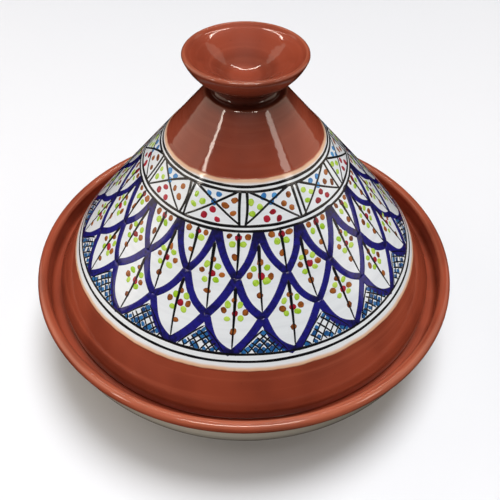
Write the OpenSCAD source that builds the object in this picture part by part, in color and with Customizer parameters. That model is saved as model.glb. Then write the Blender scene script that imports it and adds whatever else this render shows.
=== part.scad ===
// Tagine pot: a shallow glazed terracotta dish with a rolled rim and an inner
// ledge, and a tall conical lid with a cupped knob that lifts off the ledge.
// The dish stands on z = 0 and everything is turned about the Z axis.
// All sizes are in millimetres.

/* [Dish] */
// Outside diameter of the dish at its rim
dish_d = 300; // [260:2:380]
// Height of the dish from its foot to the top of the rim
dish_h = 63; // [52:1:80]
// Thickness of the dish wall
dish_wall = 8; // [6:0.5:10]
// Lean of the wall inwards just under the rim, in degrees
wall_lean = 2; // [1:1:12]
// Thickness of the floor above the hollow under the foot
floor_t = 9; // [6:0.5:12]
// Width of the rolled rim
rim_w = 7.5; // [6:0.5:9]
// Height of the rolled rim
rim_h = 5.5; // [5:0.5:8]
// Distance that the rim stands out past the wall
rim_proud = 3; // [2:0.5:4]

/* [Ledge for the lid] */
// Depth of the ledge below the top of the rim
ledge_depth = 15; // [12:0.5:18]
// Width of the ledge, from the rim inwards
ledge_w = 16; // [14:0.5:20]
// Radius of the ledge's corner and of its nose
ledge_round = 3; // [2:0.5:4]

/* [Foot] */
// Outside diameter of the foot ring
foot_d = 180; // [120:2:182]
// Width of the foot ring
foot_w = 12; // [8:1:20]
// Height of the foot ring
foot_h = 4; // [3:0.5:6]

/* [Lid] */
// Free play between the lid's edge and the rim, all round
lid_play = 7.5; // [5:0.5:9]
// Gap left under the lid where it rests on the ledge
seat_gap = 0.3; // [0.2:0.1:0.5]
// Thickness of the lid's wall
lid_wall = 7; // [5:0.5:9]
// Height of the upright edge round the lid
edge_h = 8; // [6:0.5:10]
// Rounding of the lid's lower edge
edge_round = 2; // [1:0.5:2.5]
// Slope of the cone above its shoulder, in degrees from level
cone_slope = 50.5; // [45:0.5:56]
// Slope of the lid where it meets its upright edge, in degrees
edge_slope = 60; // [58:0.5:68]
// Distance in from the edge over which the slope eases to the cone's
shoulder_w = 27; // [22:1:40]
// Diameter of the flat crown that carries the knob
crown_d = 49; // [44:1:56]
// Thickness of the crown
crown_t = 10; // [7:0.5:14]

/* [Knob] */
// Diameter of the knob at its lip
knob_d = 74; // [60:1:84]
// Height of the knob above the crown
knob_h = 24.5; // [21:0.5:32]
// Diameter of the neck, which the fingers close round
neck_d = 37; // [32:1:40]
// Depth of the cup inside the knob
cup_depth = 17; // [13:0.5:18]
// Thickness of the knob's lip
lip_t = 3.4; // [3:0.2:5]
// Radius of the seam where the neck spreads onto the crown
neck_round = 2.5; // [1:0.5:3]

/* [White slip] */
// Thickness of the white slip coats
slip_t = 0.4; // [0.3:0.1:0.8]
// Radial distance from the lid's edge to the white band
band_from_edge = 15.5; // [10:0.5:20]
// Radial distance from the crown's edge to the white band
band_from_crown = 26.5; // [15:0.5:35]
// Gap between the dish's slip and the rolled rim above it
slip_top_gap = 0.6; // [0.2:0.2:3]

/* [Hidden] */
$fn = 144;

// Steps in a short rounded corner, and in a long sweeping curve
corner_steps = 6;
sweep_steps = 16;

terracotta = "#A9573A";
white = "#E4E2DA";

// Dish: the outer wall is one arc that ends level with the foot's top
dish_r = dish_d / 2;
wall_top_z = dish_h - rim_h;
wall_r = (wall_top_z - foot_h) / (1 - sin(wall_lean));
wall_cx = dish_r - rim_proud - wall_r * cos(wall_lean);
wall_cz = foot_h + wall_r;
floor_z = foot_h + floor_t;
// Angles below level at which the wall's slip starts and the wall ends
slip_top_angle = -wall_lean - slip_top_gap / wall_r * 180 / PI;
wall_end = 88;
inner_r = wall_r - dish_wall;

// Rim and ledge
rim_inner_r = dish_r - rim_w;
// The rounding under the rim fits in what its rolled top leaves
rim_under_r = min(rim_proud, rim_h - rim_w / 2);
ledge_z = dish_h - ledge_depth;
ledge_r = rim_inner_r - ledge_w;
// The ledge's underside runs out and down at 45 degrees to the inner wall
under_u = ledge_r - wall_cx;
under_v = wall_cz - (ledge_z - ledge_round);
under_s = (sqrt(2 * inner_r * inner_r - pow(under_u - under_v, 2))
    - under_u - under_v) / 2;

// Lid: the seat, the upright edge, the shoulder arc and the straight cone
edge_r = rim_inner_r - lid_play;
seat_z = ledge_z + seat_gap;
edge_top_z = seat_z + edge_h;
shoulder_rad = shoulder_w / (sin(edge_slope) - sin(cone_slope));
shoulder_cx = edge_r - shoulder_rad * sin(edge_slope);
shoulder_cz = edge_top_z - shoulder_rad * cos(edge_slope);
shoulder_r = edge_r - shoulder_w;
shoulder_z = shoulder_cz + shoulder_rad * cos(cone_slope);
crown_r = crown_d / 2;
crown_z = shoulder_z + (shoulder_r - crown_r) * tan(cone_slope);
band_low_r = edge_r - band_from_edge;
band_high_r = crown_r + band_from_crown;
ceiling_z = crown_z - crown_t;

// Knob
knob_r = knob_d / 2;
neck_r = neck_d / 2;
knob_top_z = crown_z + knob_h;
lip_r = lip_t / 2;

// Points along an arc about (cx, cz), angles from +X towards +Z
function arc(cx, cz, r, a0, a1, steps) =
    [for (i = [0:steps]) let (a = a0 + (a1 - a0) * i / steps)
        [cx + r * cos(a), cz + r * sin(a)]];

// Points along a cubic curve with four control points
function curve(p0, p1, p2, p3, steps) =
    [for (i = [0:steps]) let (t = i / steps, s = 1 - t)
        s * s * s * p0 + 3 * s * s * t * p1 + 3 * s * t * t * p2 + t * t * t * p3];

// Points of the lid's shoulder between two radii, lifted off the wall by lift.
// The radii are those of the bare wall, so a coat ends level with it.
function shoulder(r0, r1, lift, steps) =
    let (a0 = acos((r0 - shoulder_cx) / shoulder_rad),
         a1 = acos((r1 - shoulder_cx) / shoulder_rad))
    arc(shoulder_cx, shoulder_cz, shoulder_rad + lift, a0, a1, steps);

// A point of the straight cone at a radius of the bare wall, lifted by lift
function on_cone(r, lift) =
    [r + lift * sin(cone_slope),
     shoulder_z + (shoulder_r - r) * tan(cone_slope) + lift * cos(cone_slope)];

// The outer face of the dish wall, lifted off the bare clay by lift,
// from the top of its slip down to the underside
function dish_wall_points(lift) =
    arc(wall_cx, wall_cz, wall_r + lift, slip_top_angle, -wall_end, sweep_steps);

module dish_outline() {
    polygon(concat(
        // the hollow under the foot, the ring and the floor's underside
        [[0, foot_h], [wall_cx, foot_h]],
        [for (p = [sweep_steps:-1:0]) dish_wall_points(0)[p]],
        [[dish_r - rim_proud, wall_top_z]],
        // the rolled rim
        arc(dish_r - rim_under_r, wall_top_z + rim_under_r, rim_under_r,
            -90, 0, corner_steps),
        arc(dish_r - rim_w / 2, dish_h - rim_w / 2, rim_w / 2,
            0, 180, 2 * corner_steps),
        // down to the ledge and over its nose
        arc(rim_inner_r - ledge_round, ledge_z + ledge_round, ledge_round,
            0, -90, corner_steps),
        arc(ledge_r + ledge_round, ledge_z - ledge_round, ledge_round,
            90, 180, corner_steps),
        // out to the inner wall, then down it to the floor
        arc(wall_cx, wall_cz, inner_r,
            atan2(-under_v - under_s, under_u + under_s),
            -asin((wall_cz - floor_z) / inner_r), sweep_steps),
        [[0, floor_z]]));
}

module foot_outline() {
    translate([foot_d / 2 - foot_w, 0]) square([foot_w, foot_h + 1]);
}

module dish() {
    color(terracotta) rotate_extrude() {
        dish_outline();
        foot_outline();
    }
}

module dish_white_slip() {
    color(white) rotate_extrude() polygon(concat(
        dish_wall_points(slip_t),
        [for (p = [sweep_steps:-1:0]) dish_wall_points(0)[p]]));
}

module lid_cone() {
    inner_low = shoulder_rad - lid_wall;
    color(terracotta) rotate_extrude() polygon(concat(
        // the outer face, from the crown down to the seat
        [[0, crown_z], [crown_r, crown_z], on_cone(band_high_r, 0)],
        shoulder(shoulder_r, band_low_r, 0, corner_steps),
        shoulder(band_low_r, edge_r, 0, corner_steps),
        arc(edge_r - edge_round, seat_z + edge_round, edge_round,
            0, -90, corner_steps),
        // the inner face, back up to the crown's ceiling
        [[shoulder_cx + inner_low * sin(edge_slope), seat_z]],
        arc(shoulder_cx, shoulder_cz, inner_low,
            90 - edge_slope, 90 - cone_slope, sweep_steps),
        [on_cone(shoulder_r - (ceiling_z - shoulder_z
                + lid_wall / cos(cone_slope)) / tan(cone_slope), 0)
            - [0, lid_wall / cos(cone_slope)],
         [0, ceiling_z]]));
}

module lid_white_slip() {
    color(white) rotate_extrude() polygon(concat(
        [on_cone(band_high_r, slip_t)],
        shoulder(shoulder_r, band_low_r, slip_t, corner_steps),
        shoulder(band_low_r, shoulder_r, 0, corner_steps),
        [on_cone(band_high_r, 0)]));
}

module lid_knob() {
    lip_z = knob_top_z - lip_r;
    color(terracotta) rotate_extrude() polygon(concat(
        [[0, crown_z]],
        // the seam and the underside of the cup
        arc(neck_r + neck_round, crown_z + neck_round, neck_round,
            -90, -180, corner_steps),
        curve([neck_r, crown_z + neck_round], [neck_r, crown_z + knob_h / 4],
            [knob_r - 5, crown_z + knob_h * 3 / 8],
            [knob_r, lip_z], sweep_steps),
        // the rounded lip and the hollow of the cup
        arc(knob_r - lip_r, lip_z, lip_r, 0, 120, corner_steps),
        curve([knob_r - lip_t - 1, lip_z], [knob_r * 0.62, lip_z - 3],
            [knob_r * 0.4, knob_top_z - cup_depth],
            [0, knob_top_z - cup_depth], sweep_steps)));
}

dish();
dish_white_slip();
lid_cone();
lid_white_slip();
lid_knob();
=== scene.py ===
# %% [markdown]
# # A hand-painted tagine
# A tagine is two loose pieces of glazed terracotta: a shallow dish and a tall cone of a
# lid with a cupped knob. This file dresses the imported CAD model. Its frame is fixed, so
# every surface below is worked out from the sizes of the CAD pieces, in metres.

# %% Load the frame
import math

import bpy
import numpy as np
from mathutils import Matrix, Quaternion, Vector


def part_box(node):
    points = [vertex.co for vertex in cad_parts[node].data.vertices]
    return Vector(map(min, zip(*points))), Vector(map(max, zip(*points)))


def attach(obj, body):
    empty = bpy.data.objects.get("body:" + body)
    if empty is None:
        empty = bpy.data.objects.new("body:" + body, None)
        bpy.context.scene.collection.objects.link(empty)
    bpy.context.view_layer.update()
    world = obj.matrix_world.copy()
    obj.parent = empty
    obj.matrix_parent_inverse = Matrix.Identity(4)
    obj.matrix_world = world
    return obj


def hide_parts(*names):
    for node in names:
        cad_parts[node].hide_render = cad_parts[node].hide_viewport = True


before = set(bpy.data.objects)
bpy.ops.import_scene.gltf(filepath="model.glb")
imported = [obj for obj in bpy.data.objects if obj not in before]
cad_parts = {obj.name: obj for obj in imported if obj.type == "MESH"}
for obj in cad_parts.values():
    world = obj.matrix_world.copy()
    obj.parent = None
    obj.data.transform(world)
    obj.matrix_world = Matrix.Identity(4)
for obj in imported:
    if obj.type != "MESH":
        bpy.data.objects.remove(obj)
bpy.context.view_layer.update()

# %% [markdown]
# The overall sizes come from the CAD pieces. The rest are the potter's own choices,
# such as the wall's thickness and lean. They follow the CAD outline, with finer curves
# and softer corners than collision and mass need.

# %% Sizes from the frame
MM = 0.001
RIM_R, _, DISH_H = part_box("dish")[1]
EDGE_R, _, CROWN_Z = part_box("lid_cone")[1]
KNOB_R, _, KNOB_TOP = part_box("lid_knob")[1]
SEAT_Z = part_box("lid_cone")[0].z
print("radii of rim and lid:", round(RIM_R, 4), round(EDGE_R, 4))
print("heights of crown and knob:", round(CROWN_Z, 4), round(KNOB_TOP, 4))

# %% The potter's sizes
RIM_W, RIM_H, RIM_PROUD = 7.5 * MM, 5.5 * MM, 3 * MM
WALL_LEAN, DISH_WALL, FLOOR_T = math.radians(2), 8 * MM, 9 * MM
LEDGE_DEPTH, LEDGE_W, LEDGE_ROUND = 15 * MM, 16 * MM, 3 * MM
FOOT_R, FOOT_W, FOOT_H = 90 * MM, 12 * MM, 4 * MM
LID_WALL, EDGE_H, EDGE_ROUND = 7 * MM, 8 * MM, 2 * MM
CONE_SLOPE, EDGE_SLOPE, SHOULDER_W = math.radians(50.5), math.radians(60), 27 * MM
CROWN_R, CROWN_T, CROWN_ROUND = 24.5 * MM, 10 * MM, 1.2 * MM
NECK_R, NECK_ROUND, CUP_DEPTH, LIP_T = 18.5 * MM, 2.5 * MM, 17 * MM, 3.4 * MM
SLIP_T, SINK = 0.2 * MM, 0.06 * MM

# %% [markdown]
# ## Outlines
# A pot is an outline turned about an axis. Each outline here is an array of (radius,
# height) points made of arcs, straight lines and one kind of free curve, walked with
# the clay on the left so that the turned faces point outwards.

# %% Curves that outlines are made of


def arc(cx, cz, radius, start, end, steps):
    """Points on a circle about (cx, cz); angles in degrees from outwards towards up."""
    a = np.radians(np.linspace(start, end, steps))
    return np.stack([cx + radius * np.cos(a), cz + radius * np.sin(a)], 1)


def line(start, end, step=3 * MM):
    """Evenly spaced points from start to end, about a step apart."""
    start, end = np.array(start), np.array(end)
    t = np.linspace(0, 1, 2 + int(np.linalg.norm(end - start) / step))[:, None]
    return (1 - t) * start + t * end


def sweep(p0, p1, p2, p3, steps):
    """A cubic curve: it leaves p0 towards p1 and arrives at p3 from p2."""
    t = np.linspace(0, 1, steps)[:, None]
    s = 1 - t
    p0, p1, p2, p3 = map(np.array, (p0, p1, p2, p3))
    return s**3 * p0 + 3 * s * s * t * p1 + 3 * s * t * t * p2 + t**3 * p3


def corner(before, at, after, cut, steps=6):
    """A rounded corner: a curve that leaves and meets the two sides cut away from it."""
    before, at, after = map(np.array, (before, at, after))
    a = at + (before - at) * cut / np.linalg.norm(before - at)
    b = at + (after - at) * cut / np.linalg.norm(after - at)
    t = np.linspace(0, 1, steps)[:, None]
    return (1 - t) ** 2 * a + 2 * t * (1 - t) * at + t * t * b


def join(*parts):
    """One outline from several, without the points that two of them share."""
    points = np.concatenate(parts)
    step = np.linalg.norm(np.diff(points, axis=0), axis=1)
    return points[np.concatenate([[True], step > 1e-6])]


def along(points):
    """Distance from the first point to each point, measured along the outline."""
    step = np.linalg.norm(np.diff(points, axis=0), axis=1)
    return np.concatenate([[0.0], np.cumsum(step)])


def normals(points):
    """Unit normals on the right of the walk: its direction turned by a quarter."""
    way = np.gradient(points, axis=0)
    way = way / np.linalg.norm(way, axis=1)[:, None]
    return np.stack([way[:, 1], -way[:, 0]], 1)


print("a half circle of radius 1 measures", round(along(arc(0, 0, 1, 0, 180, 90))[-1], 3))

# %% [markdown]
# ## Turning an outline into a mesh
# `spin` lays an outline out at many angles as one grid of numbers and joins the last
# column to the first, so there is no seam. Thrown clay is never quite even: fingers
# leave a shallow spiral, and the wall is a hair out of round. Both are a small push
# along the normal, as a function of angle and distance.

# %% Turning and the thrower's marks
TURN = 2 * math.pi
COLUMNS = 360
MARK_FADE = 6 * MM


def turn(radius, height, theta):
    """Points at a radius and height, theta radians round from the front to the right."""
    x, y = radius * np.sin(theta), -radius * np.cos(theta)
    return np.stack([x, y, np.broadcast_to(height, x.shape)], -1)


def thrown(start, end, pitch, ring, wobble, phase=0.0):
    """The thrower's marks between two distances along an outline.

    Push along the normal = ring * sin(2 pi s / pitch + theta), a spiral that slowly
    swells and dies down, plus wobble * sin(2 theta + phase), faded at both ends."""

    def push(theta, s):
        fade = np.clip((s - start) / MARK_FADE, 0, 1) * np.clip((end - s) / MARK_FADE, 0, 1)
        swell = 0.6 + 0.4 * np.sin(TURN * s / (5.3 * pitch) + 1)
        spiral = swell * np.sin(TURN * s / pitch + theta)
        return fade * (ring * spiral + wobble * np.sin(2 * theta + phase))

    return push


def together(*marks):
    """Several thrower's marks as one: the sum of their pushes."""
    return lambda theta, s: sum(push(theta, s) for push in marks)


def spin(outline, s, n, push, columns=COLUMNS, closed=False):
    """Points, their numbers and faces of an outline turned about Z, as grids.

    A point is outline(s) + push(theta, s) * normal(s), turned by theta. A closed
    outline is a ring, whose last row is joined to its first."""
    theta = np.linspace(0, TURN, columns, endpoint=False)[None, :]
    lift = push(theta, s[:, None])
    grid = turn(outline[:, :1] + lift * n[:, :1], outline[:, 1:] + lift * n[:, 1:], theta)
    index = np.arange(len(outline) * columns).reshape(-1, columns)
    low, high = (index, np.roll(index, -1, 0)) if closed else (index[:-1], index[1:])
    quads = np.stack([low, np.roll(low, -1, 1), np.roll(high, -1, 1), high], -1)
    return grid.reshape(-1, 3), index, quads


def lathe(outline, push, columns=COLUMNS):
    """Points, faces and distances of an open outline turned about Z.

    An end that lies on the axis becomes one point, with triangles round it."""
    s = along(outline)
    co, index, quads = spin(outline, s, normals(outline), push, columns)
    tris = np.zeros((0, 3), int)
    if outline[0, 0] < 1e-9:
        pole = np.full(columns, index[0, 0])
        tris = np.stack([pole, quads[0, :, 2], quads[0, :, 3]], 1)
        quads = quads[1:]
    if outline[-1, 0] < 1e-9:
        pole = np.full(columns, index[-1, 0])
        tris = np.concatenate([tris, np.stack([quads[-1, :, 0], quads[-1, :, 1], pole], 1)])
        quads = quads[:-1]
    used = np.unique(np.concatenate([quads.ravel(), tris.ravel()]))
    quads, tris = (np.searchsorted(used, f) for f in (quads.reshape(-1, 4), tris))
    return co[used], quads.tolist() + tris.tolist(), np.repeat(s, columns)[used]


print("a turned surface has", COLUMNS, "columns of points")

# %% Pieces and their attributes
SHARP = 4 * MM


def mesh_object(name, co, faces, material):
    """A mesh of one material, with its object at the origin."""
    mesh = bpy.data.meshes.new(name)
    mesh.from_pydata(co, [], faces)
    mesh.materials.append(material)
    obj = bpy.data.objects.new(name, mesh)
    bpy.context.scene.collection.objects.link(obj)
    return obj


def piece(name, co, faces, body, material, replaced=None):
    """A smooth mesh that rides on a body, in one of the record's finishes."""
    obj = mesh_object(name, co, faces, material)
    obj.data.polygons.foreach_set("use_smooth", np.ones(len(faces), bool))
    obj.data.update()
    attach(obj, body)
    if replaced:
        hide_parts(replaced)
    print(f"{name}: {len(co)} points, {len(faces)} faces")
    return obj


def put(obj, name, values):
    """Stores one number per point of the mesh, for its material to read."""
    layer = obj.data.attributes.new(name, "FLOAT", "POINT")
    layer.data.foreach_set("value", np.asarray(values, np.float32))


def wear(outline):
    """How sharply an outline turns outwards, 0 to 1, where 1 is a 4 mm radius or less."""
    s, n = along(outline), normals(outline)
    turned = np.gradient(np.unwrap(np.arctan2(n[:, 1], n[:, 0])), s)
    return np.clip(turned * SHARP, 0, 1)


def turned_piece(name, outline, push, body, node, columns=COLUMNS):
    """A turned terracotta piece with its wear, its faces and its points' distances."""
    co, faces, distance = lathe(outline, push, columns)
    obj = piece(name, co, faces, body, GLAZED_TERRACOTTA, node)
    put(obj, "wear", np.interp(distance, along(outline), wear(outline)))
    return obj, faces, distance


print("fully worn at a radius of", SHARP / MM, "mm")

# %% [markdown]
# ## Finishes
# Colours are given as sRGB hex and turned to linear light, which is what a
# renderer adds up. Patterns are laid out in metres, so 1 / size gives spots that size.

# %% Colour and node helpers
DRIFT = 0.02


def linear(hex_colour):
    """An sRGB hex colour as linear RGBA."""
    c = np.array([int(hex_colour[i : i + 2], 16) for i in (1, 3, 5)]) / 255
    c = np.where(c <= 0.04045, c / 12.92, ((c + 0.055) / 1.055) ** 2.4)
    return (*c, 1.0)


print("middle grey in linear light:", round(linear("#808080")[0], 3))


def add(tree, kind, settings=None, links=None):
    """Adds a node: settings are its options and fixed inputs, links its fed inputs."""
    node = tree.nodes.new("ShaderNode" + kind)
    for key, value in (settings or {}).items():
        if isinstance(key, str) and hasattr(node, key):
            setattr(node, key, value)
        else:
            node.inputs[key].default_value = value
    for key, source in (links or {}).items():
        tree.links.new(source, node.inputs[key])
    return node


# the numbers of a colour Mix node's sockets
FACTOR, COLOUR_A, COLOUR_B, MIXED = 0, 6, 7, 2


def mix(tree, factor, a, b):
    """Blends two colours, each a hex string or a socket, by a socket."""
    settings, links = {"data_type": "RGBA"}, {FACTOR: factor}
    for key, colour in ((COLOUR_A, a), (COLOUR_B, b)):
        if isinstance(colour, str):
            settings[key] = linear(colour)
        else:
            links[key] = colour
    return add(tree, "Mix", settings, links).outputs[MIXED]


def ramp(tree, value, low, high, to_low=0.0, to_high=1.0):
    """Maps a value from one range to another along a smooth step."""
    settings = {"interpolation_type": "SMOOTHSTEP", "From Min": low, "From Max": high,
                "To Min": to_low, "To Max": to_high}
    return add(tree, "MapRange", settings, {"Value": value}).outputs["Result"]


def noise(tree, vector, size, detail=3.0, rough=0.5):
    """Cloudy noise with patches of about that size, in metres."""
    settings = {"Scale": 1 / size, "Detail": detail, "Roughness": rough}
    return add(tree, "TexNoise", settings, {"Vector": vector}).outputs["Fac"]


def math_node(tree, operation, a, b):
    """Arithmetic on two sockets."""
    return add(tree, "Math", {"operation": operation}, {0: a, 1: b}).outputs[0]


def attribute(tree, name):
    """The number that put() stored on the mesh under that name."""
    return add(tree, "Attribute", {"attribute_name": name}).outputs["Fac"]


def turned_coordinates(tree):
    """Object coordinates, and the same wound round the axis: (radius, 0, height) plus
    DRIFT times x and y, so that streaks run round the pot and slowly drift."""
    where = add(tree, "TexCoord").outputs["Object"]
    flat, drift = (add(tree, "Mapping", {"Scale": (k, k, 0)}, {"Vector": where}).outputs[0]
                   for k in (1, DRIFT))
    radius = add(tree, "VectorMath", {"operation": "LENGTH"}, {0: flat}).outputs["Value"]
    height = add(tree, "SeparateXYZ", {}, {0: where}).outputs["Z"]
    wound = add(tree, "CombineXYZ", {}, {"X": radius, "Z": height}).outputs[0]
    around = add(tree, "VectorMath", {"operation": "ADD"}, {0: wound, 1: drift}).outputs[0]
    return where, around


# %% Materials and the glaze
GLAZE_IOR = 1.5


def new_material(name):
    """An empty node material and its tree."""
    material = bpy.data.materials.new(name)
    material.use_nodes = True
    material.node_tree.nodes.clear()
    return material, material.node_tree


def finish_glaze(tree, colour, bumps, roughness=0.4, coat=1.0, coat_roughness=0.06):
    """A body colour under a clear coat. bumps is a list of (height, depth in metres)."""
    normal = None
    for height, depth in bumps:
        links = {"Height": height}
        if normal:
            links["Normal"] = normal
        bump = add(tree, "Bump", {"Strength": 1.0, "Distance": depth}, links)
        normal = bump.outputs[0]
    settings = {"IOR": GLAZE_IOR, "Specular IOR Level": 0.2, "Coat Weight": coat,
                "Coat Roughness": coat_roughness, "Coat IOR": GLAZE_IOR}
    links = {"Base Color": colour, "Normal": normal, "Coat Normal": normal}
    if hasattr(roughness, "node"):
        links["Roughness"] = roughness
    else:
        settings["Roughness"] = roughness
    shader = add(tree, "BsdfPrincipled", settings, links)
    add(tree, "OutputMaterial", {}, {"Surface": shader.outputs[0]})


print("the glaze bends light by", GLAZE_IOR)

# %% [markdown]
# ### Terracotta under clear glaze
# Red earthenware is fired, dipped in clear glaze and fired again, which deepens it to a
# warm brown-red. Streaks run round the pot where the sponge smoothed it, iron shows as
# tiny dark specks, and on the sharpest edges the glaze runs thin and paler clay shows.
# Round the knob's neck and under its cup the colour is darkened as painted shade. One
# flat colour would look like plastic, so the colour is layers of noise, and the gloss a
# coat over a duller body.

# %% Terracotta
CLAY, CLAY_DEEP, CLAY_PALE = "#93412B", "#7C3422", "#B15E45"
IRON, THIN_GLAZE = "#5A2415", "#B87053"
# painted shade: the dark round the knob's neck and under its cup
NECK_SHADE, FLARE_SHADE = "#3E1A10", "#47201A"


def clay_colour(tree, where, around):
    """Streaked, clouded and speckled terracotta as one colour socket."""
    clouds = ramp(tree, noise(tree, where, 45 * MM, 2), 0.35, 0.7)
    colour = mix(tree, clouds, CLAY, CLAY_DEEP)
    streaks = ramp(tree, noise(tree, around, 3.2 * MM, 4, 0.6), 0.48, 0.8, 0, 0.35)
    colour = mix(tree, streaks, colour, CLAY_PALE)
    specks = ramp(tree, noise(tree, where, 1.1 * MM, 2), 0.68, 0.78, 0, 0.55)
    return mix(tree, specks, colour, IRON)


def terracotta(name):
    """Glazed terracotta: its glaze is thin where the attribute wear is high. Painted shade
    darkens it round the knob's neck and where the attribute pool is high, under the cup."""
    material, tree = new_material(name)
    where, around = turned_coordinates(tree)
    colour = clay_colour(tree, where, around)
    patchy = noise(tree, around, 2.2 * MM, 3)
    worn = math_node(tree, "MULTIPLY", attribute(tree, "wear"), patchy)
    colour = mix(tree, ramp(tree, worn, 0.3, 0.75, 0, 0.4), colour, THIN_GLAZE)
    # painted shade round the knob's neck and, by the attribute pool, under its cup
    neck_shade_at = {"operation": "DISTANCE", 1: (NECK_R, 0, CROWN_Z + 4 * MM)}
    away = add(tree, "VectorMath", neck_shade_at, {0: around}).outputs["Value"]
    colour = mix(tree, ramp(tree, away, 4 * MM, 13 * MM, 0.7, 0), colour, NECK_SHADE)
    colour = mix(tree, attribute(tree, "pool"), colour, FLARE_SHADE)
    waves = noise(tree, where, 9 * MM, 2)
    grain = noise(tree, around, 1.6 * MM, 3)
    rough = ramp(tree, patchy, 0.3, 0.7, 0.35, 0.5)
    finish_glaze(tree, colour, [(waves, 0.12 * MM), (grain, 0.012 * MM)], rough)
    return material


GLAZED_TERRACOTTA = terracotta("glazed_terracotta")


def biscuit_clay():
    """Bare fired clay on the foot, wiped clean of glaze: pale, dry and gritty."""
    material, tree = new_material("bare_biscuit_clay")
    where, around = turned_coordinates(tree)
    colour = mix(tree, noise(tree, where, 12 * MM), "#B56A49", "#C98A68")
    grit = ramp(tree, noise(tree, where, 0.9 * MM, 2), 0.62, 0.75)
    colour = mix(tree, grit, colour, "#8A4A30")
    finish_glaze(tree, colour, [(grit, 0.05 * MM)], 0.85, 0.0)
    return material


BISCUIT = biscuit_clay()
print("clays:", GLAZED_TERRACOTTA.name, BISCUIT.name)

# %% [markdown]
# ### White slip
# Slip is runny white clay, brushed on before glazing. Its edge is never sharp: it thins
# over a few millimetres, first to cream, then to the clay's orange. The attribute margin
# runs from 0 at the edge to 1 where the coat is full, and noise makes it ragged.

# %% Slip


def slip(name, white, shade, thin):
    """Slip under clear glaze. At its margin it thins to a warm cream, then to clay."""
    material, tree = new_material(name)
    where, around = turned_coordinates(tree)
    clay = clay_colour(tree, where, around)
    ragged = ramp(tree, noise(tree, where, 14 * MM), 0.25, 0.75, -0.08, 0.08)
    margin = math_node(tree, "ADD", attribute(tree, "margin"), ragged)
    brush = ramp(tree, noise(tree, around, 4 * MM, 4, 0.6), 0.4, 0.75, 0, 0.7)
    body = mix(tree, brush, white, shade)
    pinholes = ramp(tree, noise(tree, where, 0.8 * MM, 1), 0.76, 0.82, 0, 0.35)
    body = mix(tree, pinholes, body, "#A08A74")
    colour = mix(tree, ramp(tree, margin, 0.05, 0.34), clay, thin)
    colour = mix(tree, ramp(tree, margin, 0.42, 0.92), colour, body)
    waves = noise(tree, where, 11 * MM, 2)
    finish_glaze(tree, colour, [(waves, 0.1 * MM)], 0.35, 1.0, 0.07)
    return material


LID_SLIP = slip("glazed_white_slip", "#E0E5EA", "#D2D7DD", "#DDB494")
DISH_SLIP = slip("glazed_cream_slip", "#E2DCD0", "#D0C9BC", "#B98A6A")
print("slips:", LID_SLIP.name, DISH_SLIP.name)

# %% [markdown]
# ### Brushed oxides
# The painter works on the slip with metal oxides: cobalt for blue, manganese and iron
# for black and amber, copper for green, and a stain for the red. Where a stroke starts
# or two cross, more colour pools and fires darker. The attribute pool says how much.

# %% Oxide paints


def oxide(name, thin, full):
    """A glazed oxide, from its thin colour to its full one by pool and brush noise."""
    material, tree = new_material(name)
    where = add(tree, "TexCoord").outputs["Object"]
    uneven = ramp(tree, noise(tree, where, 2.5 * MM, 4, 0.6), 0.3, 0.7, -0.35, 0.35)
    depth = math_node(tree, "ADD", attribute(tree, "pool"), uneven)
    colour = mix(tree, ramp(tree, depth, 0.0, 1.0), thin, full)
    finish_glaze(tree, colour, [(noise(tree, where, 7 * MM, 2), 0.06 * MM)], 0.35)
    return material


COBALT = oxide("cobalt_blue_oxide", "#1F1C78", "#131238")
BLACK = oxide("manganese_black_oxide", "#15171C", "#070709")
GREEN = oxide("copper_green_oxide", "#B2CF55", "#8DB81C")
AMBER = oxide("iron_amber_oxide", "#A05C24", "#66300F")
RED = oxide("stain_red", "#A92136", "#7E0C1D")
SKY = oxide("cobalt_wash_blue", "#4C93CC", "#1E64A6")
HATCH_BLUE = oxide("cobalt_wash_deep", "#2A6DA8", "#123F74")
print(len(bpy.data.materials), "materials so far")

# %% [markdown]
# ## The dish
# The dish is thrown as one bowl: a foot ring is turned underneath, the wall rises in
# one curve, and the rim is rolled over, with a ledge pressed inside it for the lid.
# All of it is one outline, so one lathe makes it without a seam.

# %% Dish outline
WALL_TOP = DISH_H - RIM_H
WALL_ARC = (WALL_TOP - FOOT_H) / (1 - math.sin(WALL_LEAN))
WALL_CX = RIM_R - RIM_PROUD - WALL_ARC * math.cos(WALL_LEAN)
WALL_CZ = FOOT_H + WALL_ARC
FLOOR_Z, LEDGE_Z = FOOT_H + FLOOR_T, DISH_H - LEDGE_DEPTH
RIM_IN = RIM_R - RIM_W
LEDGE_R = RIM_IN - LEDGE_W


def foot_points():
    """From the middle of the underside, round the foot ring, to the wall."""
    inner = FOOT_R - FOOT_W
    a, b, c = (inner, FOOT_H), (inner, 0), (FOOT_R, 0)
    d, e = (FOOT_R, FOOT_H), (WALL_CX, FOOT_H)
    return join(line((0, FOOT_H), (inner - 3 * MM, FOOT_H)),
                corner((0, FOOT_H), a, b, 2 * MM), corner(a, b, c, 1.4 * MM),
                corner(b, c, d, 1.4 * MM), corner(c, d, e, 1.6 * MM))


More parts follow.
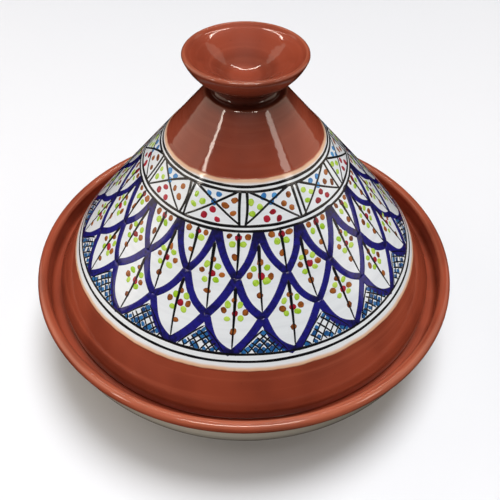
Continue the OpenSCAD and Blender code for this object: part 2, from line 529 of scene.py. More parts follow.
def rim_points():
    """From the top of the wall over the rolled rim and down to the ledge's nose."""
    lip = RIM_W / 2
    crest_x, crest_z = RIM_R - lip, DISH_H - lip
    below, top = (RIM_R - 2 * RIM_PROUD, WALL_TOP - 25 * MM), (RIM_R - RIM_PROUD, WALL_TOP)
    under = (RIM_R, WALL_TOP + 0.3 * MM)
    root, nose = RIM_IN - LEDGE_ROUND, LEDGE_R + LEDGE_ROUND
    return join(corner(below, top, under, 0.8 * MM),
                corner(top, under, (RIM_R, DISH_H), 1.4 * MM),
                arc(crest_x, crest_z, lip, 0, 180, 28),
                line((RIM_IN, crest_z), (RIM_IN, LEDGE_Z + LEDGE_ROUND), 1 * MM),
                arc(root, LEDGE_Z + LEDGE_ROUND, LEDGE_ROUND, 0, -90, 9),
                line((root, LEDGE_Z), (nose, LEDGE_Z)),
                arc(nose, LEDGE_Z - LEDGE_ROUND, LEDGE_ROUND, 90, 180, 9))


def inside_points():
    """From under the ledge, out to the inner wall and down it to the floor."""
    inner = WALL_ARC - DISH_WALL
    u, v = LEDGE_R - WALL_CX, WALL_CZ - (LEDGE_Z - LEDGE_ROUND)
    out = (math.sqrt(2 * inner**2 - (u - v) ** 2) - u - v) / 2
    start = math.degrees(math.atan2(-v - out, u + out))
    end = -math.degrees(math.asin((WALL_CZ - FLOOR_Z) / inner))
    wall = arc(WALL_CX, WALL_CZ, inner, start, end, 30)
    nose, rise = np.array([LEDGE_R, LEDGE_Z - LEDGE_ROUND]), wall[0]
    return join(corner(nose - [0, 3 * MM], nose, rise, 1.5 * MM)[3:],
                corner(nose, rise, wall[4], 2 * MM), wall[4:],
                line(wall[-1], (0, FLOOR_Z), 4 * MM))


wall = arc(WALL_CX, WALL_CZ, WALL_ARC, -88, -math.degrees(WALL_LEAN), 44)
DISH_OUTLINE = join(foot_points(), wall, rim_points(), inside_points())
DISH_S = along(DISH_OUTLINE)
WALL_START, RIM_START = (DISH_S[np.argmin(np.linalg.norm(DISH_OUTLINE - end, axis=1))]
                         for end in (wall[0], wall[-1]))
INNER_START = DISH_S[-1] - 110 * MM
print("the dish's outline is", round(DISH_S[-1] / MM), "mm long")

# %% Dish mesh
# marks on the wall, inside the dish and on the rim's crest
dish_push = together(
    thrown(WALL_START, RIM_START + 9 * MM, 7 * MM, 0.03 * MM, 0.12 * MM),
    thrown(INNER_START, DISH_S[-1], 9 * MM, 0.12 * MM, 0.0),
    thrown(RIM_START, RIM_START + 24 * MM, 2.6 * MM, 0.02 * MM, 0.08 * MM, 0.4))
dish, faces, distance = turned_piece("dish_body", DISH_OUTLINE, dish_push, "base", "dish")
dish.data.materials.append(BISCUIT)
# the foot, up to where the wall starts, is wiped bare
middle = np.array([np.mean(distance[f]) for f in faces])
dish.data.polygons.foreach_set("material_index", (middle < WALL_START).astype(int))

# %% [markdown]
# The wall below the rim is dipped in cream slip. The coat is a thin ring: its outer
# face follows the wall a fifth of a millimetre off, its inner face lies just inside the
# clay, and both ends taper so that no step shows.

# %% Coats of slip


def coat(outline, push, start, end, fades):
    """A closed ring over part of an outline, from distance start to distance end.

    Height over the clay = SLIP_T in the middle, easing to 0 over the taper. The margin
    climbs from 0 to 1 over fades, one distance for each end."""
    taper, step = 1.2 * MM, 1.5 * MM
    s_all, n_all = along(outline), normals(outline)
    inset = np.linspace(0, taper, 5)
    s = np.concatenate([start + inset, np.arange(start + taper + step, end - taper, step),
                        end - inset[::-1]])
    at = np.stack([np.interp(s, s_all, outline[:, k]) for k in (0, 1)], 1)
    n = np.stack([np.interp(s, s_all, n_all[:, k]) for k in (0, 1)], 1)
    margin = np.minimum((s - start) / fades[0], (end - s) / fades[1]).clip(0, 1)
    up = SLIP_T * np.clip(np.minimum(s - start, end - s) / taper, 0, 1)
    ring = np.concatenate([at + n * up[:, None], (at - n * SINK)[::-1]])
    s, n, margin = (np.concatenate([a, a[::-1]]) for a in (s, n, margin))
    co, _, quads = spin(ring, s, n, push, closed=True)
    return co, quads.reshape(-1, 4).tolist(), np.repeat(margin, COLUMNS)


co, faces, margins = coat(DISH_OUTLINE, dish_push, WALL_START + 2 * MM,
                          RIM_START - 0.2 * MM, (9 * MM, 1.6 * MM))
dish_coat = piece("dish_slip_coat", co, faces, "base", DISH_SLIP,
                  "dish_white_slip")
put(dish_coat, "margin", margins)

# %% [markdown]
# ## The lid
# The lid is thrown upside down as a wide funnel. Outside it climbs from an upright edge
# over a gentle shoulder into a straight cone; inside, the same at one wall's thickness.
# A plain cone would have no shoulder and no inside, so this too is an outline.

# %% Lid outline
EDGE_TOP = SEAT_Z + EDGE_H
SHOULDER = SHOULDER_W / (math.sin(EDGE_SLOPE) - math.sin(CONE_SLOPE))
SHOULDER_CX = EDGE_R - SHOULDER * math.sin(EDGE_SLOPE)
SHOULDER_CZ = EDGE_TOP - SHOULDER * math.cos(EDGE_SLOPE)
LOW, HIGH = 90 - math.degrees(EDGE_SLOPE), 90 - math.degrees(CONE_SLOPE)


def inside_of_lid():
    """From the middle of the ceiling, down the funnel, to the seat."""
    funnel = arc(SHOULDER_CX, SHOULDER_CZ, SHOULDER - LID_WALL, HIGH, LOW, 14)
    ceiling = CROWN_Z - CROWN_T
    reach = funnel[0, 0] - (ceiling - funnel[0, 1]) / math.tan(CONE_SLOPE)
    top, seat = np.array([reach, ceiling]), np.array([funnel[-1, 0] + 1 * MM, SEAT_Z])
    foot = np.array([EDGE_R, SEAT_Z])
    return join(line((0, ceiling), (reach - 7 * MM, ceiling)),
                corner((0, ceiling), top, funnel[0], 6 * MM, 8),
                line(top + (funnel[0] - top) * 0.08, funnel[0]), funnel[:-2],
                corner(funnel[-3], seat, foot, 1.5 * MM),
                line(seat + [2 * MM, 0], foot - [EDGE_ROUND, 0]))


def outside_of_lid():
    """From the seat, round the edge and up over the shoulder, to the crown."""
    corner_at, crown = np.array([EDGE_R, EDGE_TOP]), np.array([CROWN_R, CROWN_Z])
    bow = arc(SHOULDER_CX, SHOULDER_CZ, SHOULDER, LOW, HIGH, 34)
    return join(arc(EDGE_R - EDGE_ROUND, SEAT_Z + EDGE_ROUND, EDGE_ROUND, -90, 0, 8),
                line((EDGE_R, SEAT_Z + EDGE_ROUND), (EDGE_R, EDGE_TOP - 2 * MM), 1 * MM),
                corner((EDGE_R, SEAT_Z), corner_at, bow[2], 1.8 * MM), bow[3:],
                line(bow[-1], crown + (bow[-1] - crown) * 0.02, 1.2 * MM),
                corner(bow[-1], crown, (0, CROWN_Z), CROWN_ROUND),
                line(crown - [2 * MM, 0], (0, CROWN_Z)))


INSIDE, OUTSIDE = inside_of_lid(), outside_of_lid()
LID_OUTLINE = join(INSIDE, OUTSIDE)
LID_S = along(LID_OUTLINE)
OUT_START = along(INSIDE)[-1]
OUT_END = OUT_START + along(OUTSIDE)[-1] - CROWN_R
# marks outside the lid and inside it
lid_push = together(
    thrown(OUT_START + 4 * MM, OUT_END, 6.5 * MM, 0.022 * MM, 0.15 * MM, 0.9),
    thrown(10 * MM, OUT_START - 25 * MM, 8 * MM, 0.15 * MM, 0.0))
turned_piece("lid_body", LID_OUTLINE, lid_push, "lid", "lid_cone")

# %% [markdown]
# The painted band lies on a coat of white slip. Everything painted is placed by its
# angle and radius, which one function turns into a point on the lid's skin and the
# direction that faces away from it.

# %% The lid's skin
outer = LID_S > OUT_START + 9 * MM
SKIN_R = LID_OUTLINE[outer][::-1, 0]
SKIN_S = LID_S[outer][::-1]
SKIN_Z = LID_OUTLINE[outer][::-1, 1]
SKIN_N = normals(LID_OUTLINE)[outer][::-1]


def distance_at(radius):
    """Distance along the lid's outline where its outside has that radius."""
    return np.interp(radius, SKIN_R, SKIN_S)


def skin(theta, radius):
    """Points on the slip's surface and their unit normals.

    Point = outline(radius) + (marks + slip thickness) * normal, turned by theta."""
    n = np.stack([np.interp(radius, SKIN_R, SKIN_N[:, k]) for k in (0, 1)], -1)
    lift = lid_push(theta, distance_at(radius)) + SLIP_T
    at = turn(radius + lift * n[..., 0],
              np.interp(radius, SKIN_R, SKIN_Z) + lift * n[..., 1], theta)
    return at, turn(n[..., 0], n[..., 1], theta)


def lay(points, up):
    """Drops points onto the skin at their own angle and radius, then lifts them by up."""
    theta = np.arctan2(points[..., 0], -points[..., 1])
    at, n = skin(theta, np.hypot(points[..., 0], points[..., 1]))
    return at + n * up[..., None]


# %% The white band
BAND_HIGH, BAND_LOW = 48.9 * MM, 120.9 * MM
co, faces, margins = coat(LID_OUTLINE, lid_push, distance_at(BAND_LOW),
                          distance_at(BAND_HIGH), (4.2 * MM, 4.4 * MM))
band = piece("lid_slip_band", co, faces, "lid", LID_SLIP, "lid_white_slip")
put(band, "margin", margins)

# %% [markdown]
# ## Brush strokes and dots
# A stroke of glazed oxide is a low ridge: flat on top, rolled off at its sides, with
# its feet just under the slip. It follows any path, as wide as the brush was pressed. A
# dot is one touch of the brush, never quite round. As meshes they keep crisp edges,
# where a painted texture would blur.

# %% Strokes
PAINT_T = 0.07 * MM
ACROSS = np.array([-1.0, -0.93, -0.6, 0.6, 0.93, 1.0])
HEIGHT = np.array([-1.0, 0.45, 1.0, 1.0, 0.45, -1.0])


def stroke(theta, radius, width, pool, up, loop=False):
    """Points, faces and pooling of one brush stroke.

    A point = path(t) + side(t) * width / 2 * across, dropped on the skin and raised by
    height * paint thickness, where side = direction x normal."""
    centre, n = skin(theta, radius)
    if loop:
        way = np.roll(centre, -1, 0) - np.roll(centre, 1, 0)
    else:
        way = np.gradient(centre, axis=0)
    side = np.cross(way, n)
    side /= np.linalg.norm(side, axis=1)[:, None]
    half = np.broadcast_to(width, theta.shape)[:, None, None] / 2
    flat = centre[:, None] + side[:, None] * half * ACROSS[:, None]
    co = lay(flat, np.broadcast_to(HEIGHT * PAINT_T * up, flat.shape[:2]))
    count, wide = flat.shape[:2]
    index = np.arange(count * wide).reshape(count, wide)
    ahead = np.roll(index, -1, 0)
    here, ahead = (index, ahead) if loop else (index[:-1], ahead[:-1])
    quads = np.stack([here, np.roll(here, -1, 1), np.roll(ahead, -1, 1), ahead], -1)
    faces = quads.reshape(-1, 4).tolist()
    if not loop:
        faces += [index[0, ::-1].tolist(), index[-1].tolist()]
    pools = np.broadcast_to(np.broadcast_to(pool, theta.shape)[:, None], (count, wide))
    return co.reshape(-1, 3), faces, pools.ravel()


def pressed(count, width, start, end, round_off=0.06):
    """Widths along a stroke: eased from start to end, with rounded tips."""
    t = np.linspace(0, 1, count)
    tips = np.sqrt(np.clip(np.minimum(t, 1 - t) / round_off, 0.02, 1))
    return width * (start + (end - start) * t) * tips


def drawn(a, b, bow, count, peak=1.0):
    """Angles and radii from point a to point b, each (theta, radius), bowed to one side.

    The straight path is pushed sideways by bow * length * sin(pi t ** peak)."""
    t = np.linspace(0, 1, count)
    theta, radius = (a[k] + (b[k] - a[k]) * t for k in (0, 1))
    du = (b[0] - a[0]) * (a[1] + b[1]) / 2
    dv = (b[1] - a[1]) / math.cos(CONE_SLOPE)
    push = bow * np.sin(math.pi * t**peak)
    return theta - push * dv / radius, radius + push * du * math.cos(CONE_SLOPE)


def ruled(a, b, bow, count, width, press, pool, up, peak=1.0):
    """A stroke from a to b. press holds what pressed() takes after the width."""
    theta, radius = drawn(a, b, bow, count, peak)
    return stroke(theta, radius, pressed(count, width, *press), pool, up)


def paint(name, parts, material):
    """One painted piece of the lid, gathered from its strokes or dots."""
    points, faces, pools = zip(*parts)
    starts = np.cumsum([0] + [len(p) for p in points])
    faces = [[i + int(k) for i in f] for part, k in zip(faces, starts) for f in part]
    obj = piece(name, np.concatenate(points), faces, "lid", material)
    put(obj, "pool", np.concatenate(pools))


print("a stroke stands", PAINT_T / MM, "mm proud of the slip")

# %% Dots
RNG = np.random.default_rng(11)
shaky = RNG.standard_normal
CORNERS = 11


def daubs(theta, radius, half_u, half_v, lean, square=1.0, up=1.15):
    """Many touches of the brush at once, each a low dome, half_u by half_v across.

    Outline = an oval (|cos| and |sin| to the power of square) with 6 % of noise in its
    radius, laid on the skin at the scales 1, 0.86 and 0.5, and raised by the paint."""
    centre, n = skin(theta, radius)
    u = np.stack([np.cos(theta), np.sin(theta), np.zeros_like(theta)], 1)
    v = np.cross(u, n)
    a = np.linspace(0, TURN, CORNERS, endpoint=False)
    ca, sa = (np.sign(f) * np.abs(f) ** square for f in (np.cos(a), np.sin(a)))
    ragged = 1 + 0.06 * shaky((len(theta), CORNERS))
    half_u, half_v, lean = (np.broadcast_to(x, theta.shape)[:, None]
                            for x in (half_u, half_v, lean))
    p, q = ca * half_u * ragged, sa * half_v * ragged
    p, q = p * np.cos(lean) - q * np.sin(lean), p * np.sin(lean) + q * np.cos(lean)
    offset = u[:, None] * p[..., None] + v[:, None] * q[..., None]
    scales, rise = np.array([1.0, 0.86, 0.5]), np.array([-1.0, 0.5, 1.0]) * up
    rings = centre[:, None, None] + offset[:, None] * scales[:, None, None]
    rings = lay(rings, np.broadcast_to(rise[:, None] * PAINT_T, rings.shape[:3]))
    tops = lay(centre, np.full(theta.shape, PAINT_T * up * 1.1))[:, None]
    co = np.concatenate([rings.reshape(len(theta), -1, 3), tops], 1)
    k = np.arange(CORNERS)
    after = (k + 1) % CORNERS
    quads = [np.stack([k + o, k + o + CORNERS, after + o + CORNERS, after + o], 1)
             for o in (0, CORNERS)]
    fan = np.stack([k + 2 * CORNERS, np.full(CORNERS, 3 * CORNERS), after + 2 * CORNERS], 1)
    base = [list(range(CORNERS))]
    one = [f for q4 in quads for f in q4.tolist()] + fan.tolist() + base
    size = 3 * CORNERS + 1
    faces = [[i + m * size for i in f] for m in range(len(theta)) for f in one]
    # more colour lies in a dot's rim than in its middle, and more in some dots
    pool = np.repeat(0.5 + 0.22 * shaky(len(theta)), size)
    pool = pool + np.tile([0.15] * (2 * CORNERS) + [-0.1] * (CORNERS + 1), len(theta))
    return co.reshape(-1, 3), faces, pool


print("a dot has", 3 * CORNERS + 1, "points")

# %% [markdown]
# ## The painted band
# From the top: a double ring, eleven crossed panels, a double ring, three rows of
# eighteen leaves with hatched triangles between the lowest tips, and a double ring. The
# leaves are the gaps in a net of long cobalt strokes. Each starts steep and flares at
# its foot, which gives the leaves their pointed-arch tops.

# %% The net
DEG = math.pi / 180
LEAVES, PANELS = 18, 11
RING_TOP, RING_MIDDLE, RING_LOW = (51.6, 53.4), (66.2, 68.1), (114.2, 116.8)


def around_lid(first, count, jitter):
    """Angles round the lid, evenly spaced from the first, each off by a shaky hand."""
    return first * DEG + TURN / count * np.arange(count) + jitter * DEG * shaky(count)


def radii(radius, jitter, count=LEAVES):
    """Radii in metres near one radius in millimetres, each off by a shaky hand."""
    return (radius + jitter * shaky(count)) * MM


def lap(points, k):
    """The k-th of a ring of (theta, radius) points, counted on past the last."""
    theta, radius = points
    turns, k = divmod(k, len(theta))
    return theta[k] + TURN * turns, radius[k]


APEX = around_lid(6.6, LEAVES, 0.35), radii(67.6, 0.2)
CROSS_1 = around_lid(-3.5, LEAVES, 0.55), radii(85.2, 0.5)
CROSS_2 = around_lid(6.3, LEAVES, 0.55), radii(99.6, 0.5)
TIPS = around_lid(-3.6, LEAVES, 0.6), radii(114.1, 0.35)


def net_strokes():
    """Both strokes of each leaf in each row: down to the left and down to the right."""
    # above, below, places shifted, width in mm, pooling at the start, bows
    rows = ((APEX, CROSS_1, 0, 4.5, 0.95, (-0.052, 0.058)),
            (CROSS_1, CROSS_2, -1, 4.7, 0.5, (-0.038, 0.085)),
            (CROSS_2, TIPS, 0, 4.8, 0.3, (-0.03, 0.125)))
    parts = []
    for above, below, shift, width, press, bows in rows:
        for k in range(LEAVES):
            for side in (0, 1):
                a, b = lap(above, k), lap(below, k + shift + side)
                sway = 0.028 * math.sin(a[0]) + 0.01 * shaky()
                theta, radius = drawn(a, b, bows[side] + sway, 26, 1.25)
                t = np.linspace(0, 1, len(theta))
                w = (width + 0.25 * shaky()) * MM
                w = w * (1 + 0.35 * press * (1 - t) ** 3 + 0.08 * t**4)
                w = pressed(len(t), w, 1, 1, 0.04)
                pool = 0.1 + press * (1 - t) ** 2.5 + 0.7 * t**4
                parts.append(stroke(theta, radius, w, pool, 0.9 + 0.02 * side))
    return parts


paint("lid_cobalt_net", net_strokes(), COBALT)

# %% Rings


def ring(radius, width):
    """A line right round the lid. Its radius and width waver by slow sine waves."""
    theta = np.linspace(0, TURN, 720, endpoint=False)
    phases = RNG.uniform(0, TURN, 6)
    waves = sum(np.sin(n * theta + p) / n**0.5 for n, p in zip((2, 3, 5, 9, 14, 23), phases))
    press = sum(np.sin(n * theta + p) for n, p in zip((4, 7, 13, 29), phases[::-1])) / 4
    wide = width * MM * (1 + 0.16 * press)
    return stroke(theta, (radius + 0.12 * waves) * MM, wide, 0.6, 1.1, loop=True)


RING_WIDTH = 1.75
rings = [ring(r, RING_WIDTH) for r in (*RING_TOP, *RING_MIDDLE, *RING_LOW)]
paint("lid_black_rings", rings, BLACK)

# %% [markdown]
# Each leaf gets a black vein, drawn from its top and lifted off towards its tip, and a
# small cross of dots: red in the middle, amber at the four points, green between them.

# %% Veins
# what is above, what is below, places shifted, shares of the way at the start and end
VEINS = ((APEX, CROSS_2, 0, 0.15, 0.95), (CROSS_1, TIPS, 0, 0.12, 0.95),
         (None, CROSS_1, 0, 0.03, 0.97))
VEIN_POINTS = 40


def leaf_axis(row, k):
    """The top and the bottom of the k-th leaf in a row."""
    above, below, shift, _, _ = VEINS[row]
    bottom = lap(below, k + shift)
    top = lap(above, k) if above else (bottom[0] + 0.3 * DEG, RING_MIDDLE[1] * MM)
    return top, bottom


def vein_strokes():
    """One tapering line down each leaf, slightly off its middle."""
    parts = []
    for row, (_, _, _, start, end) in enumerate(VEINS):
        for k in range(LEAVES):
            a, b = leaf_axis(row, k)
            theta, radius = drawn(a, b, 0.02 * shaky(), VEIN_POINTS)
            keep = slice(int(start * VEIN_POINTS), int(end * VEIN_POINTS))
            width = pressed(len(theta[keep]), 2.4 * MM, 1.0, 0.4)
            parts.append(stroke(theta[keep], radius[keep], width, 0.55, 1.25))
    return parts


paint("lid_black_veins", vein_strokes(), BLACK)

# %% Dots in the leaves
A, G, R, S = "amber", "green", "red", "sky"
# (colour, share of the way down the leaf, millimetres to the right)
BIG_LEAF = ((A, 0.37, 0), (G, 0.43, -3.7), (G, 0.43, 3.5), (R, 0.52, 0.4),
            (A, 0.51, -5.8), (A, 0.52, 6.2), (G, 0.595, -3.3), (G, 0.595, 3.4),
            (A, 0.73, -1.3))
LOW_LEAF = ((A, 0.29, -0.4), (G, 0.36, -3.7), (G, 0.35, 3.7), (R, 0.46, 0.9),
            (A, 0.44, -6.0), (A, 0.45, 5.8), (G, 0.53, -3.6), (G, 0.53, 3.6),
            (A, 0.71, 0.5))
TOP_LEAF = ((R, 0.13, 0.2), (A, 0.11, -5.2), (A, 0.11, 5.3), (G, 0.28, -3.1),
            (G, 0.27, 3.1), (A, 0.55, -1.2))
DOTS = {G: GREEN, A: AMBER, R: RED, S: SKY}
placed = {colour: [] for colour in DOTS}


def mark(colour, theta, radius, size=1.0):
    """Notes down one dot, with a shaky hand. 0.64 is the cosine of the cone's slope."""
    shake = shaky(2) * 0.3 * MM
    placed[colour].append((theta + shake[0] / radius, radius + shake[1] * 0.64, size))


for row, plan in enumerate((BIG_LEAF, LOW_LEAF, TOP_LEAF)):
    for k in range(LEAVES):
        (t0, r0), (t1, r1) = leaf_axis(row, k)
        for colour, down, across in plan:
            radius = r0 + (r1 - r0) * down
            mark(colour, t0 + (t1 - t0) * down + across * MM / radius, radius)
print("dots in the leaves:", {c: len(p) for c, p in placed.items()})

# %% [markdown]
# The panels are ruled freehand: two short bars between neighbours, two bowed lines
# that cross inside, and three dots in each of the four fields, one colour to a field.

# %% Panels
PANEL_TOP, PANEL_LOW = RING_TOP[1] * MM, RING_MIDDLE[0] * MM
BARS = around_lid(-1.6, PANELS, 0.5)
BAR_GAP = 1.85 * MM


def panel_point(k, across, down):
    """A point of the k-th panel: across runs from bar to bar, down from ring to ring."""
    radius = PANEL_TOP + (PANEL_LOW - PANEL_TOP) * down
    left, right = (lap((BARS, BARS), j)[0] for j in (k, k + 1))
    left, right = left + BAR_GAP / radius, right - BAR_GAP / radius
    return left + (right - left) * across, radius


def panel_strokes():
    """Two bars on each side of a panel and two crossing lines inside it."""
    parts = []
    for k in range(PANELS):
        for across, width in ((0.0, 1.7), (1.0, 1.8)):
            shake = 0.012 * shaky(2)
            a = panel_point(k, across + shake[0], -0.03)
            b = panel_point(k, across + shake[1], 1.03)
            bow = 0.02 * shaky()
            parts.append(ruled(a, b, bow, 18, width * MM, (1.1, 0.85), 0.6, 1.2))
        for start, end, bow in ((0.02, 1.0, 0.05), (0.98, 0.0, -0.05)):
            shake = 0.02 * shaky(3)
            a = panel_point(k, start + shake[0], 0.0)
            b = panel_point(k, end + shake[1], 1.0)
            bow = shake[2] - bow
            parts.append(ruled(a, b, bow, 30, 1.5 * MM, (1.1, 0.8), 0.5, 1.3, 0.8))
    return parts


paint("lid_black_panel_lines", panel_strokes(), BLACK)

# %% Dots in the panels
# (colour, share of the way across, share of the way down)
FIELDS = ((S, 0.36, 0.16), (S, 0.58, 0.17), (S, 0.49, 0.37),
          (R, 0.49, 0.62), (R, 0.36, 0.81), (R, 0.60, 0.84),
          (G, 0.27, 0.44), (G, 0.11, 0.30), (G, 0.12, 0.62),
          (A, 0.72, 0.45), (A, 0.89, 0.27), (A, 0.88, 0.64))
for k in range(PANELS):
    for colour, across, down in FIELDS:
        mark(colour, *panel_point(k, across, down), size=0.98)
print("dots in all:", sum(map(len, placed.values())))

# %% Dots of all four colours
for colour, spots in placed.items():
    theta, radius, size = np.array(spots).T
    half = (2.3 if colour == R else 2.12) * MM * size
    half = half * (1 + 0.07 * shaky(len(half)))
    stretch = 1 + 0.1 * shaky(len(half))
    lean = RNG.uniform(-0.6, 0.6, len(half))
    paint(f"lid_{colour}_dots", [daubs(theta, radius, half * stretch, half / stretch, lean)],
          DOTS[colour])

# %% [markdown]
# Between the lowest tips stand triangles, ruled with fine lines both ways and dabbed
# with blue in rather more than half of the squares.

# %% Hatching
LINES = 6
HATCH_WIDTH, DAB_HALF = 1.1 * MM, 1.65 * MM


def hatch_corners(k):
    """The top, left and right corners of the k-th triangle, inside its two strokes."""
    top = lap(CROSS_2, k)
    left, right = lap(TIPS, k), lap(TIPS, k + 1)
    low = (RING_LOW[0] - 0.4) * MM
    inset = 4.6 * MM / low
    return ((top[0], top[1] + 4.4 * MM), (left[0] + inset, low), (right[0] - inset, low))


def between(a, b, share):
    """The (theta, radius) point that lies a share of the way from a to b."""
    return a[0] + (b[0] - a[0]) * share, a[1] + (b[1] - a[1]) * share


def hatch_strokes():
    """Lines parallel to the left side, then lines parallel to the right side."""
    parts = []
    for k in range(LEAVES):
        top, left, right = hatch_corners(k)
        for j in range(LINES):
            share = (j + 0.12 * shaky(2) * (j > 0)) / LINES
            ends = ((between(top, right, share[0]), between(left, right, share[1]), 0.04),
                    (between(top, left, share[0]), between(right, left, share[1]), -0.04))
            parts += [ruled(a, b, bow, 12, HATCH_WIDTH, (1.1, 0.85, 0.1), 0.5, 1.2)
                      for a, b, bow in ends]
    return parts


def hatch_dabs():
    """A blue dab in most of the squares, a little too big or too small."""
    spots = []
    for k in range(LEAVES):
        top, left, right = hatch_corners(k)
        for i in range(LINES):
            for j in range(LINES - i):
                if (i + j) % 2 == RNG.integers(0, 5) // 3 or RNG.random() < 0.3:
                    p, q = (i + 0.5) / LINES, (j + 0.5) / LINES
                    if p + q > 0.97:
                        p, q = p - 0.03, q - 0.03
                    theta = top[0] + (left[0] - top[0]) * p + (right[0] - top[0]) * q
                    radius = top[1] + (left[1] - top[1]) * (p + q)
                    spots.append((theta, radius))
    theta, radius = np.array(spots).T
    wide, tall = (DAB_HALF * (1 + 0.15 * shaky(len(theta))) for _ in range(2))
    return daubs(theta, radius, wide, tall, math.pi / 4, 0.55, 0.75)


paint("lid_blue_hatch_dabs", [hatch_dabs()], HATCH_BLUE)
paint("lid_black_hatch", hatch_strokes(), BLACK)

# %% [markdown]
# ## The knob
# The knob is a small cup on a neck, thrown by itself and stuck on with wet clay.
# Fingers close round the neck under the cup. Its flare and its hollow are free curves,
# because a thrown knob has no straight side.

# %% Knob


def knob_points():
    """From under the neck, up the flare, over the lip and down into the cup."""
    lip, tall = LIP_T / 2, KNOB_TOP - CROWN_Z
    lip_z, foot = KNOB_TOP - lip, CROWN_Z - 0.1 * MM
    flare = sweep((NECK_R, CROWN_Z + NECK_ROUND), (NECK_R, CROWN_Z + tall / 4),
                  (KNOB_R - 5 * MM, CROWN_Z + tall * 3 / 8), (KNOB_R, lip_z), 44)
    cup = sweep((KNOB_R - LIP_T - 1 * MM, lip_z), (0.62 * KNOB_R, lip_z - 3 * MM),
                (0.4 * KNOB_R, KNOB_TOP - CUP_DEPTH), (0, KNOB_TOP - CUP_DEPTH), 60)
    roll = arc(KNOB_R - lip, lip_z, lip, 0, 115, 16)
    return join(line((0, foot), (NECK_R + NECK_ROUND, foot)),
                arc(NECK_R + NECK_ROUND, CROWN_Z + NECK_ROUND, NECK_ROUND, -90, -180, 9),
                flare, roll, corner(roll[-2], cup[0], cup[2], 0.8 * MM, 5), cup[2:])


KNOB_OUTLINE = knob_points()
marks_end = along(KNOB_OUTLINE)[-1] - 4 * MM
knob_push = thrown(30 * MM, marks_end, 3.4 * MM, 0.014 * MM, 0.1 * MM, 2.0)
knob, _, distance = turned_piece("lid_knob_cup", KNOB_OUTLINE, knob_push, "lid",
                                 "lid_knob", 300)
# painted shade: darker from the seam to just under the lip, under the cup
KNOB_SHADE_AT, KNOB_SHADE_DEPTH = (NECK_R, 24 * MM, 36 * MM, 49 * MM), (0, 0.6, 0.6, 0)
put(knob, "pool", np.interp(distance, KNOB_SHADE_AT, KNOB_SHADE_DEPTH))

# %% [markdown]
# ## Studio
# The pot stands on pale paper. A big soft light shines almost straight down, a little
# from behind, and a weaker one fills in from above. Two large panels show as pale sheets
# on the sides of the cone, and two strips and two bars add the bright lines that a glaze
# catches. The pot neither mirrors the paper nor gets light from it, as if it stood on a
# dark table: that keeps the shade under the rim and round the neck deep. Two low lights
# put a little of it back on the dish's wall.

# %% Floor


def paper():
    """Matte off-white paper."""
    material, tree = new_material("matte_paper")
    where = add(tree, "TexCoord").outputs["Object"]
    colour = mix(tree, noise(tree, where, 0.4), "#DBDDE1", "#D8DADF")
    shader = add(tree, "BsdfPrincipled", {"Roughness": 0.9, "Specular IOR Level": 0.1},
                 {"Base Color": colour})
    add(tree, "OutputMaterial", {}, {"Surface": shader.outputs[0]})
    return material


FLOOR_R = 12.0
no_marks = thrown(0, 1, 1, 0, 0)
co, faces, _ = lathe(line((FLOOR_R, 0), (0, 0), 0.5), no_marks, 96)
floor = mesh_object("studio_floor", co, faces, paper())
floor.visible_diffuse = floor.visible_glossy = False
print("the floor is a disc of", FLOOR_R, "m radius")

# %% Lights
MIDDLE = Vector((0, 0, 0.12))
WHITE, WARM, WARMER = "#FFFFFF", "#FFF3E6", "#FFEBD6"


def hang(name, kind, place, power, tint, unseen_by):
    """A light at a place, turned to face the pot. unseen_by "diffuse" leaves only its
    highlight on the glaze, and "glossy" only the light that it gives."""
    light = bpy.data.lights.new(name, kind)
    light.energy, light.color = power, linear(tint)[:3]
    obj = bpy.data.objects.new(name, light)
    obj.location = place
    obj.rotation_euler = (MIDDLE - Vector(place)).to_track_quat("-Z", "Y").to_euler()
    bpy.context.scene.collection.objects.link(obj)
    if unseen_by:
        setattr(obj, "visible_" + unseen_by, False)
    return light


overhead = hang("overhead", "SUN", (0.22, 0.42, 2.0), 2.7, WHITE, "glossy")
overhead.angle = math.radians(30)
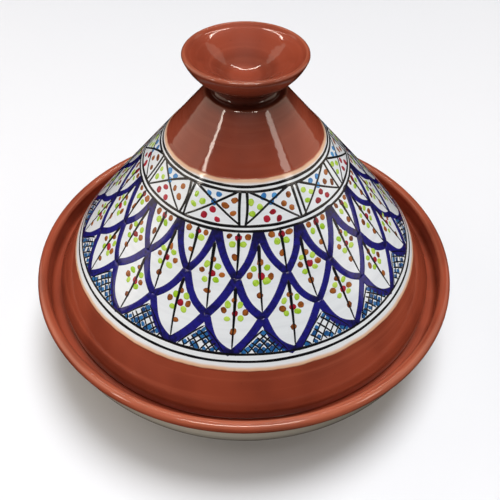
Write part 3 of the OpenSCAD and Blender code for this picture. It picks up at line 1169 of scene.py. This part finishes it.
# name, place, width and height in metres, watts, tint, what doesn't see it
SOFTBOXES = (
    ("top_fill", (0, -0.25, 1.4), (0.8, 0.8), 6.0, WHITE, "glossy"),
    ("low_left", (-0.6, -0.5, 0.12), (0.5, 0.16), 1.8, WARM, "glossy"),
    ("low_right", (0.6, -0.5, 0.12), (0.5, 0.16), 0.7, WARM, "glossy"),
    ("left_panel", (-0.85, 0.12, 0.62), (1.0, 0.9), 3.0, WARMER, None),
    ("right_panel", (0.85, 0.16, 0.62), (1.0, 0.9), 2.3, WARMER, None),
    ("left_strip", (-0.72, -0.40, 0.73), (0.07, 0.24), 0.75, WARM, "diffuse"),
    ("right_strip", (0.72, -0.40, 0.73), (0.16, 0.24), 0.6, WARM, "diffuse"),
    ("front_bar", (0, -0.42, 1.0), (0.7, 0.05), 5.0, WARM, "diffuse"),
    ("back_bar", (0, 0.5, 1.1), (0.9, 0.03), 2.5, WARM, "diffuse"))
for name, place, size, watts, tint, unseen_by in SOFTBOXES:
    light = hang(name, "AREA", place, watts, tint, unseen_by)
    light.shape = "RECTANGLE"
    light.size, light.size_y = size
print("lights:", len(bpy.data.lights))

# %% [markdown]
# The room is dim, with a paler band at the horizon. It gives a little light and shows
# behind the floor, but the glaze doesn't mirror it.

# %% Room
world = bpy.data.worlds.new("studio")
world.use_nodes = True
sky_tree = world.node_tree
sky_tree.nodes.clear()
direction = add(sky_tree, "TexCoord").outputs["Generated"]
rise = add(sky_tree, "SeparateXYZ", {}, {0: direction}).outputs["Z"]
shade = mix(sky_tree, ramp(sky_tree, rise, 0.05, 0.2), "#C6C9CE", "#3E4042")
shade = mix(sky_tree, ramp(sky_tree, rise, -0.03, 0.0), "#7A756F", shade)
shade = add(sky_tree, "Background", {"Strength": 1.0}, {"Color": shade})
add(sky_tree, "OutputWorld", {}, {"Surface": shade.outputs[0]})
world.cycles_visibility.glossy = False
bpy.context.scene.world = world
bpy.context.scene.view_settings.view_transform = "Standard"
print("the room's shader:", len(sky_tree.nodes), "nodes")

# %% [markdown]
# The camera looks down at 45 degrees from half a metre away, so near that the front of
# the rim looks bigger than the back.

# %% Camera
lens = bpy.data.cameras.new("camera")
lens.sensor_width, lens.lens = 36.0, 46.09
camera = bpy.data.objects.new("camera", lens)
rim_centre = Vector((0, 0, 0.060))
reach, tilt = 0.4779, math.radians(45.0)
pan, roll = math.radians(-0.48), math.radians(0.36)
camera.location = rim_centre + reach * Vector((0, -math.cos(tilt), math.sin(tilt)))
facing = (rim_centre - camera.location).to_track_quat("-Z", "Y")
facing = facing @ Quaternion((0, 1, 0), pan) @ Quaternion((0, 0, 1), roll)
camera.rotation_euler = facing.to_euler()
bpy.context.scene.collection.objects.link(camera)
bpy.context.scene.camera = camera
print("camera at", [round(v, 3) for v in camera.location])
